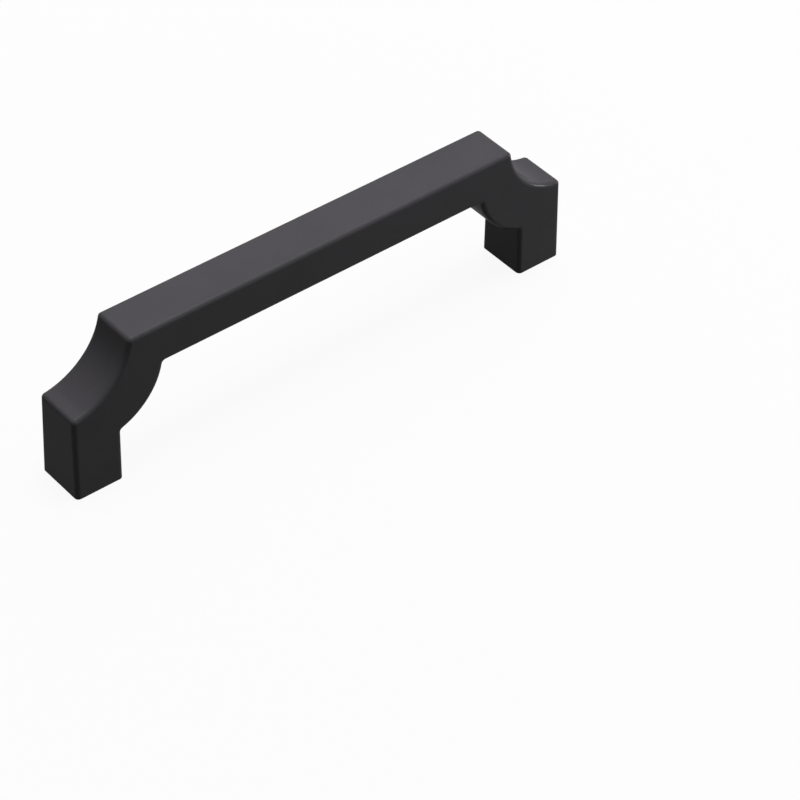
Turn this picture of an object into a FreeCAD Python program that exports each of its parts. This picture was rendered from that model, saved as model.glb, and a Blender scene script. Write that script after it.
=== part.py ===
import FreeCAD, Part
import math
import os

# A bar pull for cabinet doors and drawers: one solid casting, screwed on from behind.
# Millimetres. The origin is midway between the feet on the mounting plane.
# X runs along the pull, Y across it and Z away from the door.
# The pull is the same on both sides of X = 0 and of Y = 0.

# Feet and overall size
hole_spacing = 96.0
foot_length = 9.4
foot_depth = 10.1
height = 28.1
bar_thickness = 7.9

# Every upright face leans by this angle, narrowing away from the foot plane, so the casting
# leaves its mould. The gap between the legs widens toward the foot plane by the same angle.
draft_angle = 1.0

# Corners: a scoop on the outside and a rounded web on the inside, struck with one radius
corner_radius = 13.0
scoop_run = 12.0
scoop_drop = 11.4
web_run = 9.2
web_drop = 10.0

# Edges: the outer edges are rounded, and the rim of each foot stays sharp
edge_radius = 0.8
inner_corner_radius = 0.6

# Blind holes in the feet, for M4 screws
screw_diameter = 4.0
hole_depth = 10.5
drill_point_angle = 118.0
countersink_diameter = 4.8
countersink_angle = 90.0

# How far a cutting shape runs past the face that it cuts
overrun = 0.5

lean = math.tan(math.radians(draft_angle))
half_length = (hole_spacing + foot_length) / 2.0
half_depth = foot_depth / 2.0
underside_height = height - bar_thickness
leg_top_height = height - scoop_drop
web_foot_height = underside_height - web_drop
hole_radius = screw_diameter / 2.0
countersink_radius = countersink_diameter / 2.0
countersink_slope = math.tan(math.radians(countersink_angle / 2.0))
countersink_depth = (countersink_radius - hole_radius) / countersink_slope
drill_point_depth = hole_radius / math.tan(math.radians(drill_point_angle / 2.0))


def side_point(x, z):
    """A point of the side view."""
    return FreeCAD.Vector(x, 0.0, z)


# Corner points of the side view, on the half where X is positive
foot_inner_x = half_length - foot_length
bar_end = side_point(half_length - scoop_run, height)
leg_top = side_point(half_length - lean * leg_top_height, leg_top_height)
foot_outer = side_point(half_length, 0.0)
foot_inner = side_point(foot_inner_x, 0.0)
web_foot = side_point(foot_inner_x - lean * web_foot_height, web_foot_height)
web_head = side_point(foot_inner_x - web_run, underside_height)


def mirrored(point):
    """The same point on the half where X is negative."""
    return side_point(-point.x, point.z)


def arc_middle(start, end):
    """Middle of the corner arc between two points. The arc's centre lies outside the pull, above it."""
    chord = end - start
    outward = side_point(abs(chord.z), abs(chord.x)).normalize()
    rise = math.sqrt(corner_radius ** 2 - (chord.Length / 2.0) ** 2)
    return (start + end) * 0.5 - outward * (corner_radius - rise)


scoop_middle = arc_middle(leg_top, bar_end)
web_middle = arc_middle(web_foot, web_head)


def side_outline():
    """Closed outline of the side view, with sharp corners."""
    edges = [
        Part.makeLine(foot_inner, foot_outer),
        Part.makeLine(foot_outer, leg_top),
        Part.Arc(leg_top, scoop_middle, bar_end).toShape(),
        Part.makeLine(bar_end, mirrored(bar_end)),
        Part.Arc(mirrored(bar_end), mirrored(scoop_middle), mirrored(leg_top)).toShape(),
        Part.makeLine(mirrored(leg_top), mirrored(foot_outer)),
        Part.makeLine(mirrored(foot_outer), mirrored(foot_inner)),
        Part.makeLine(mirrored(foot_inner), mirrored(web_foot)),
        Part.Arc(mirrored(web_foot), mirrored(web_middle), mirrored(web_head)).toShape(),
        Part.makeLine(mirrored(web_head), web_head),
        Part.Arc(web_head, web_middle, web_foot).toShape(),
        Part.makeLine(web_foot, foot_inner),
    ]
    return Part.Wire(edges)


def sharp_body():
    """The side view drawn out across the pull, with both side faces leaning by the draft."""
    outline = Part.Face(side_outline())
    outline.translate(FreeCAD.Vector(0.0, -half_depth, 0.0))
    block = outline.extrude(FreeCAD.Vector(0.0, foot_depth, 0.0))
    top_half_depth = half_depth - lean * height
    section_corners = [
        FreeCAD.Vector(-half_length, -half_depth, 0.0),
        FreeCAD.Vector(-half_length, half_depth, 0.0),
        FreeCAD.Vector(-half_length, top_half_depth, height),
        FreeCAD.Vector(-half_length, -top_half_depth, height),
    ]
    section = Part.Face(Part.makePolygon(section_corners + section_corners[:1]))
    wedge = section.extrude(FreeCAD.Vector(2.0 * half_length, 0.0, 0.0))
    return block.common(wedge).Solids[0]


def cross_edges(body, corners):
    """Straight edges that run across the pull through the given corners of the side view."""
    found = []
    for edge in body.Edges:
        start = edge.Vertexes[0].Point
        end = edge.Vertexes[-1].Point
        for corner in corners:
            reach = max(math.hypot(start.x - corner.x, start.z - corner.z),
                        math.hypot(end.x - corner.x, end.z - corner.z))
            if reach < edge_radius / 10.0:
                found.append(edge)
    return found


def side_face_edges(body):
    """Edges round both side faces, without those at the foot plane."""
    found = []
    for face in body.Faces:
        normal = face.normalAt(0.0, 0.0)
        if abs(normal.y) < 0.9:
            continue
        for edge in face.Edges:
            if edge.BoundBox.ZMax > edge_radius:
                found.append(edge)
    return found


def rounded_body():
    """The body with its inner corners filled and its outer edges rounded."""
    inner_corners = [web_foot, web_head, mirrored(web_foot), mirrored(web_head)]
    outer_corners = [leg_top, bar_end, mirrored(leg_top), mirrored(bar_end)]
    body = sharp_body()
    body = body.makeFillet(inner_corner_radius, cross_edges(body, inner_corners))
    edges = side_face_edges(body) + cross_edges(body, outer_corners)
    return body.makeFillet(edge_radius, edges)


def screw_hole(x):
    """The space of one blind hole: countersink, straight wall and drill point."""
    mouth_radius = countersink_radius + overrun * countersink_slope
    corners = [
        side_point(x, -overrun),
        side_point(x + mouth_radius, -overrun),
        side_point(x + hole_radius, countersink_depth),
        side_point(x + hole_radius, hole_depth),
        side_point(x, hole_depth + drill_point_depth),
    ]
    half_section = Part.Face(Part.makePolygon(corners + corners[:1]))
    return half_section.revolve(side_point(x, 0.0), FreeCAD.Vector(0.0, 0.0, 1.0), 360.0)


def bar_pull():
    """The finished casting."""
    body = rounded_body()
    for x in (-hole_spacing / 2.0, hole_spacing / 2.0):
        body = body.cut(screw_hole(x))
    return body.Solids[0]


pull = bar_pull()
os.makedirs("parts", exist_ok=True)
pull.exportStep("parts/bar_pull.step")

print("volume mm3", round(pull.Volume, 1))
print("valid", pull.isValid(), "solids", len(pull.Solids), "faces", len(pull.Faces))
box = pull.optimalBoundingBox(False, False)
print("size mm", round(box.XLength, 3), round(box.YLength, 3), round(box.ZLength, 3))
print("hole wall mm", round(hole_depth - countersink_depth, 3))
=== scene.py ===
import math

import bmesh
import bpy
from mathutils import Matrix, Vector


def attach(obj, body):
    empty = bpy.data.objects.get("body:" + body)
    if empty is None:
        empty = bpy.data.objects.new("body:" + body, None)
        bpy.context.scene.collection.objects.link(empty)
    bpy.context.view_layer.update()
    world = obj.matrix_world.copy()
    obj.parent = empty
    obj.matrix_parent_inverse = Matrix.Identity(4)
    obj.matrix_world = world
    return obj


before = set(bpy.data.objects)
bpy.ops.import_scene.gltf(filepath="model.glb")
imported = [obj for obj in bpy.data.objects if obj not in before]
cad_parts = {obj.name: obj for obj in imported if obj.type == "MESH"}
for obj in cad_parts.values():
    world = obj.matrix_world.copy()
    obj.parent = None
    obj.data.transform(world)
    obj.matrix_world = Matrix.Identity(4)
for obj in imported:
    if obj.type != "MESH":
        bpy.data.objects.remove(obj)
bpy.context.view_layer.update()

# The scene is in metres
MM = 0.001
BODY = "root"
NODE = "bar_pull"

# Screw holes, as in the source: M4, one in each foot, with a 90 degree cone at the mouth
HOLE_SPACING = 96.0 * MM
HOLE_RADIUS = 2.0 * MM
CONE_MOUTH_RADIUS = 2.4 * MM

# ISO metric coarse thread for M4. The root of the ridge is sunk into the wall, so no gap shows.
PITCH = 0.7 * MM
CREST_RADIUS = 1.621 * MM
CREST_HALF_WIDTH = PITCH / 8.0
FLANK_ANGLE = math.radians(30.0)
ROOT_SINK = 0.02 * MM
THREAD_START = 0.32 * MM
THREAD_END = 9.2 * MM
RUN_OUT_TURNS = 0.8
STEPS_PER_TURN = 60
SHARP_ANGLE = math.radians(20.0)

# Threads: name, place of the hole along the pull, and angle in radians at which the ridge starts
THREADS = (
    ("thread_left", -HOLE_SPACING / 2.0, 0.4),
    ("thread_right", HOLE_SPACING / 2.0, 2.1),
)

# Camera of the photograph: a long lens above and in front of the left end.
# Lens and sensor width are in millimetres.
CAMERA_POSITION = Vector((-0.263933, -0.337322, 0.369164))
CAMERA_VIEW = Vector((0.48289, 0.57260, -0.66253))
CAMERA_RIGHT = Vector((0.77503, -0.63164, 0.01898))
CAMERA_LENS = 146.569
CAMERA_SENSOR = 36.0
CAMERA_NEAR = 0.01
CAMERA_FAR = 20.0

# Floor: open under the feet and clear from below, so the underside can be seen and lit.
# For the light that it sends back onto the pull it has a darker colour.
FLOOR_HALF_SIZE = 3.0
FLOOR_GAP = 0.02 * MM
OPENING_HALF_LENGTH = 4.65 * MM
OPENING_HALF_DEPTH = 5.0 * MM
OPENING_CORNER = 0.5 * MM
FLOOR_COLOUR = (0.6, 0.6, 0.6, 1.0)
FLOOR_BOUNCE = (0.1, 0.1, 0.1, 1.0)

# White background: the floor's share of it under the pull, and the distances from the pull's
# middle over which that share rises to 1
WHITE = (1.0, 1.0, 1.0, 1.0)
WHITE_SHARE = 0.93
FADE_START = 0.07
FADE_END = 0.3

# Strength of the ambient light, from above and from below
AMBIENT_ABOVE = 0.01
AMBIENT_BELOW = 0.45

# Softboxes: name, tilt from upright and azimuth in degrees, distance and size in metres, power
# in watts, colour, and whether it shows as a reflection. The top one doesn't: seen from below,
# its reflection would burn out the front faces.
LAMP_TARGET = Vector((0.0, 0.0, 0.014))
PLAIN_WHITE = (1.0, 1.0, 1.0)
SOFT_WHITE = (1.0, 0.97, 1.02)
LAMPS = (
    ("top_softbox", 9.0, 5.0, 1.2, 0.5, 7.0, SOFT_WHITE, False),
    ("high_softbox", 15.0, 60.0, 1.2, 0.9, 7.0, SOFT_WHITE, True),
    ("front_softbox", 20.0, 330.0, 1.2, 0.8, 3.9, SOFT_WHITE, True),
    ("back_softbox", 45.0, 45.0, 1.2, 0.9, 3.8, SOFT_WHITE, True),
    ("right_softbox", 87.0, 335.0, 0.4, 0.1, 0.74, PLAIN_WHITE, True),
)

# Coating: its darkest and lightest tone, the thin gloss over it, and the range of its roughness
COAT_DARK = (0.0475, 0.0465, 0.0490, 1.0)
COAT_LIGHT = (0.0575, 0.0560, 0.0595, 1.0)
GLOSS_WEIGHT = 0.15
GLOSS_ROUGHNESS = 0.16
COAT_ROUGHNESS = (0.45, 0.60)
BUMP_HEIGHT = 0.002 * MM

# Noise patterns of the coating: size of the features, detail and seed
GRAIN = (0.22 * MM, 2.0, 0.11)
CLOUD = (9.0 * MM, 3.0, 0.23)
PEEL = (0.9 * MM, 1.0, 0.37)
CLOUD_SHARE = 0.5
PATTERN_ROUGHNESS = 0.55
PATTERN_RANGE = (0.3, 0.7)
SEED_SHIFT = (1.0, 0.7, 0.3)

# Sockets of a Mix node. They go by number, since their names repeat for each type of data.
MIX_FACTOR = 0
FLOAT_A, FLOAT_B, FLOAT_RESULT = 2, 3, 0
COLOUR_A, COLOUR_B, COLOUR_RESULT = 6, 7, 2


def link(tree, source, target):
    """Joins an output to an input."""
    tree.links.new(source, target)


def cleared_tree(owner):
    """The node tree of a new material or world, without the nodes that it starts with."""
    owner.use_nodes = True
    owner.node_tree.nodes.clear()
    return owner.node_tree


def combined(tree, operation, first, second):
    """Two values combined by a Math node."""
    node = tree.nodes.new("ShaderNodeMath")
    node.operation = operation
    link(tree, first, node.inputs[0])
    link(tree, second, node.inputs[1])
    return node.outputs[0]


def ranged(tree, value, old_range, new_range, interpolation="LINEAR"):
    """A value carried over from one range to another."""
    node = tree.nodes.new("ShaderNodeMapRange")
    node.interpolation_type = interpolation
    node.inputs["From Min"].default_value, node.inputs["From Max"].default_value = old_range
    node.inputs["To Min"].default_value, node.inputs["To Max"].default_value = new_range
    link(tree, value, node.inputs["Value"])
    return node.outputs["Result"]


def mixed_colour(tree, share, first, second):
    """The first colour, with the given share of the second."""
    node = tree.nodes.new("ShaderNodeMix")
    node.data_type = "RGBA"
    node.inputs[COLOUR_A].default_value = first
    node.inputs[COLOUR_B].default_value = second
    link(tree, share, node.inputs[MIX_FACTOR])
    return node.outputs[COLOUR_RESULT]


def mixed_shader(tree, share, first, second):
    """The first shader, with the given share of the second."""
    node = tree.nodes.new("ShaderNodeMixShader")
    link(tree, share, node.inputs[0])
    link(tree, first, node.inputs[1])
    link(tree, second, node.inputs[2])
    return node.outputs[0]


def seen_directly(tree):
    """1 for what the camera sees straight, mirrored or through glass, else 0."""
    path = tree.nodes.new("ShaderNodeLightPath")
    seen = path.outputs["Is Camera Ray"]
    for ray in ("Is Glossy Ray", "Is Transmission Ray"):
        seen = combined(tree, "MAXIMUM", seen, path.outputs[ray])
    return seen


def white_share(tree):
    """The floor's share of plain white. It rises away from the pull, so no horizon shows."""
    distance = tree.nodes.new("ShaderNodeVectorMath")
    distance.operation = "LENGTH"
    link(tree, tree.nodes.new("ShaderNodeTexCoord").outputs["Object"], distance.inputs[0])
    distances, shares = (FADE_START, FADE_END), (WHITE_SHARE, 1.0)
    return ranged(tree, distance.outputs["Value"], distances, shares, "SMOOTHSTEP")


def floor_material():
    """A pale floor that shows white, keeps a faint shadow and is clear from below."""
    material = bpy.data.materials.new("floor")
    tree = cleared_tree(material)
    output = tree.nodes.new("ShaderNodeOutputMaterial")
    bounce = tree.nodes.new("ShaderNodeLightPath").outputs["Is Diffuse Ray"]
    matte = tree.nodes.new("ShaderNodeBsdfDiffuse")
    link(tree, mixed_colour(tree, bounce, FLOOR_COLOUR, FLOOR_BOUNCE), matte.inputs["Color"])
    glow = tree.nodes.new("ShaderNodeEmission")
    glow.inputs["Color"].default_value = WHITE
    share = combined(tree, "MULTIPLY", seen_directly(tree), white_share(tree))
    from_above = mixed_shader(tree, share, matte.outputs[0], glow.outputs[0])
    from_below = tree.nodes.new("ShaderNodeBsdfTransparent").outputs[0]
    backfacing = tree.nodes.new("ShaderNodeNewGeometry").outputs["Backfacing"]
    link(tree, mixed_shader(tree, backfacing, from_above, from_below), output.inputs["Surface"])
    return material


def ambient_strength(tree):
    """Faint from above, and brighter from below, for the underside of the feet."""
    direction = tree.nodes.new("ShaderNodeSeparateXYZ")
    link(tree, tree.nodes.new("ShaderNodeTexCoord").outputs["Generated"], direction.inputs[0])
    strengths = (AMBIENT_BELOW, AMBIENT_ABOVE)
    strength = ranged(tree, direction.outputs["Z"], (-1.0, 1.0), strengths, "STEPPED")
    # One step, at the horizon
    strength.node.inputs["Steps"].default_value = 1.0
    return strength


def make_world():
    """Weak ambient light, from a world that the camera sees as white."""
    world = bpy.data.worlds.new("studio")
    tree = cleared_tree(world)
    output = tree.nodes.new("ShaderNodeOutputWorld")
    ambient = tree.nodes.new("ShaderNodeBackground")
    ambient.inputs["Color"].default_value = WHITE
    link(tree, ambient_strength(tree), ambient.inputs["Strength"])
    white = tree.nodes.new("ShaderNodeBackground")
    white.inputs["Color"].default_value = WHITE
    shown = mixed_shader(tree, seen_directly(tree), ambient.outputs[0], white.outputs[0])
    link(tree, shown, output.inputs["Surface"])
    bpy.context.scene.world = world


def noise(tree, position, size, detail, seed):
    """A noise pattern whose features are about the given size in metres."""
    shift = tree.nodes.new("ShaderNodeMapping")
    shift.inputs["Location"].default_value = [seed * part for part in SEED_SHIFT]
    pattern = tree.nodes.new("ShaderNodeTexNoise")
    pattern.inputs["Scale"].default_value = 1.0 / size
    pattern.inputs["Detail"].default_value = detail
    pattern.inputs["Roughness"].default_value = PATTERN_ROUGHNESS
    link(tree, position, shift.inputs["Vector"])
    link(tree, shift.outputs["Vector"], pattern.inputs["Vector"])
    return pattern.outputs["Fac"]


def bumped(tree, height, normal=None):
    """A normal bumped by a pattern, on top of an earlier normal where one is given."""
    bump = tree.nodes.new("ShaderNodeBump")
    bump.inputs["Distance"].default_value = BUMP_HEIGHT
    link(tree, height, bump.inputs["Height"])
    if normal is not None:
        link(tree, normal, bump.inputs["Normal"])
    return bump.outputs["Normal"]


def coating_material():
    """Satin black coating: a fine even grain, a soft orange peel and slight cloudiness."""
    material = bpy.data.materials.new("satin_black_coating")
    tree = cleared_tree(material)
    output = tree.nodes.new("ShaderNodeOutputMaterial")
    coat = tree.nodes.new("ShaderNodeBsdfPrincipled")
    coat.inputs["Specular IOR Level"].default_value = 0.0
    coat.inputs["Coat Weight"].default_value = GLOSS_WEIGHT
    coat.inputs["Coat Roughness"].default_value = GLOSS_ROUGHNESS

    position = tree.nodes.new("ShaderNodeTexCoord").outputs["Object"]
    grain = noise(tree, position, *GRAIN)
    cloud = noise(tree, position, *CLOUD)
    peel = noise(tree, position, *PEEL)

    both = tree.nodes.new("ShaderNodeMix")
    both.data_type = "FLOAT"
    both.inputs[MIX_FACTOR].default_value = CLOUD_SHARE
    link(tree, grain, both.inputs[FLOAT_A])
    link(tree, cloud, both.inputs[FLOAT_B])
    lightness = ranged(tree, both.outputs[FLOAT_RESULT], PATTERN_RANGE, (0.0, 1.0))
    link(tree, mixed_colour(tree, lightness, COAT_DARK, COAT_LIGHT), coat.inputs["Base Color"])
    link(tree, ranged(tree, grain, PATTERN_RANGE, COAT_ROUGHNESS), coat.inputs["Roughness"])

    normal = bumped(tree, grain, bumped(tree, peel))
    link(tree, normal, coat.inputs["Normal"])
    link(tree, normal, coat.inputs["Coat Normal"])
    link(tree, coat.outputs[0], output.inputs["Surface"])
    return material


def add_mesh_object(name, mesh, material):
    """Puts a bmesh into the scene as a new object, and frees it."""
    data = bpy.data.meshes.new(name)
    mesh.to_mesh(data)
    mesh.free()
    data.materials.append(material)
    piece = bpy.data.objects.new(name, data)
    bpy.context.scene.collection.objects.link(piece)
    return piece


def thread_section(height, depth_share):
    """Radius and height of the ridge's four corners, kept out of the cone at the hole's mouth."""
    depth = HOLE_RADIUS - CREST_RADIUS
    root = HOLE_RADIUS + ROOT_SINK
    crest = root - (depth + ROOT_SINK) * depth_share
    root_half_width = CREST_HALF_WIDTH + depth * math.tan(FLANK_ANGLE)
    corners = [
        (root, height - root_half_width),
        (crest, height - CREST_HALF_WIDTH),
        (crest, height + CREST_HALF_WIDTH),
        (root, height + root_half_width),
    ]
    return [(max(r, CONE_MOUTH_RADIUS - z + ROOT_SINK / 2.0), z) for r, z in corners]


def add_thread(name, hole_x, first_angle, material):
    """The cut thread's ridge in one screw hole. It runs out at its inner end."""
    turns = (THREAD_END - THREAD_START) / PITCH
    steps = round(turns * STEPS_PER_TURN)
    mesh = bmesh.new()
    rings = []
    for step in range(steps + 1):
        turn = step / STEPS_PER_TURN
        angle = first_angle + turn * 2.0 * math.pi
        depth_share = min(1.0, (turns - turn) / RUN_OUT_TURNS)
        ring = []
        for radius, z in thread_section(THREAD_START + turn * PITCH, depth_share):
            x = hole_x + radius * math.cos(angle)
            ring.append(mesh.verts.new((x, radius * math.sin(angle), z)))
        rings.append(ring)
    for near, far in zip(rings, rings[1:]):
        for i in range(len(near)):
            j = (i + 1) % len(near)
            mesh.faces.new((near[i], near[j], far[j], far[i]))
    mesh.faces.new(rings[0])
    mesh.faces.new(rings[-1])
    bmesh.ops.recalc_face_normals(mesh, faces=mesh.faces)
    thread = add_mesh_object(name, mesh, material)
    for polygon in thread.data.polygons:
        polygon.use_smooth = True
    thread.data.set_sharp_from_angle(angle=SHARP_ANGLE)
    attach(thread, BODY)


def opening_corners(centre_x):
    """Outline of the floor's opening under one foot, just inside the foot's own rim."""
    length, depth, corner = OPENING_HALF_LENGTH, OPENING_HALF_DEPTH, OPENING_CORNER
    quarter = ((length, depth - corner), (length - corner, depth))
    outline = []
    for x_side, y_side in ((1, 1), (-1, 1), (-1, -1), (1, -1)):
        points = quarter if x_side == y_side else quarter[::-1]
        outline += [(centre_x + x_side * x, y_side * y) for x, y in points]
    return outline


def add_floor():
    """A plain floor just under the feet."""
    size = FLOOR_HALF_SIZE
    outlines = [
        [(-size, -size), (size, -size), (size, size), (-size, size)],
        opening_corners(-HOLE_SPACING / 2.0),
        opening_corners(HOLE_SPACING / 2.0),
    ]
    mesh = bmesh.new()
    for outline in outlines:
        corners = [mesh.verts.new((x, y, -FLOOR_GAP)) for x, y in outline]
        for near, far in zip(corners, corners[1:] + corners[:1]):
            mesh.edges.new((near, far))
    bmesh.ops.triangle_fill(mesh, edges=mesh.edges[:], normal=(0.0, 0.0, 1.0))
    floor = add_mesh_object("floor", mesh, floor_material())


def add_lamp(name, tilt, azimuth, distance, size, power, colour, reflected):
    """A square softbox that faces the pull."""
    data = bpy.data.lights.new(name, "AREA")
    data.shape = "SQUARE"
    data.size = size
    data.energy = power
    data.color = colour
    lamp = bpy.data.objects.new(name, data)
    lamp.visible_glossy = reflected
    lean, turn = math.radians(tilt), math.radians(azimuth)
    level = math.sin(lean)
    direction = Vector((level * math.cos(turn), level * math.sin(turn), math.cos(lean)))
    lamp.location = LAMP_TARGET + direction * distance
    lamp.rotation_mode = "QUATERNION"
    lamp.rotation_quaternion = (-direction).to_track_quat("-Z", "Y")
    bpy.context.scene.collection.objects.link(lamp)


def add_camera():
    """The photograph's camera."""
    data = bpy.data.cameras.new("camera")
    data.lens = CAMERA_LENS
    data.sensor_width = CAMERA_SENSOR
    data.clip_start = CAMERA_NEAR
    data.clip_end = CAMERA_FAR
    camera = bpy.data.objects.new("camera", data)
    back = -CAMERA_VIEW.normalized()
    right = CAMERA_RIGHT.normalized()
    up = back.cross(right)
    turn = Matrix((right, up, back)).transposed().to_4x4()
    camera.matrix_world = Matrix.Translation(CAMERA_POSITION) @ turn
    bpy.context.scene.collection.objects.link(camera)
    bpy.context.scene.camera = camera


coating = coating_material()
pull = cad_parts[NODE]
pull.data.materials.clear()
pull.data.materials.append(coating)

for name, hole_x, first_angle in THREADS:
    add_thread(name, hole_x, first_angle, coating)
add_floor()
for lamp in LAMPS:
    add_lamp(*lamp)
make_world()
add_camera()
bpy.context.scene.view_settings.view_transform = "Standard"
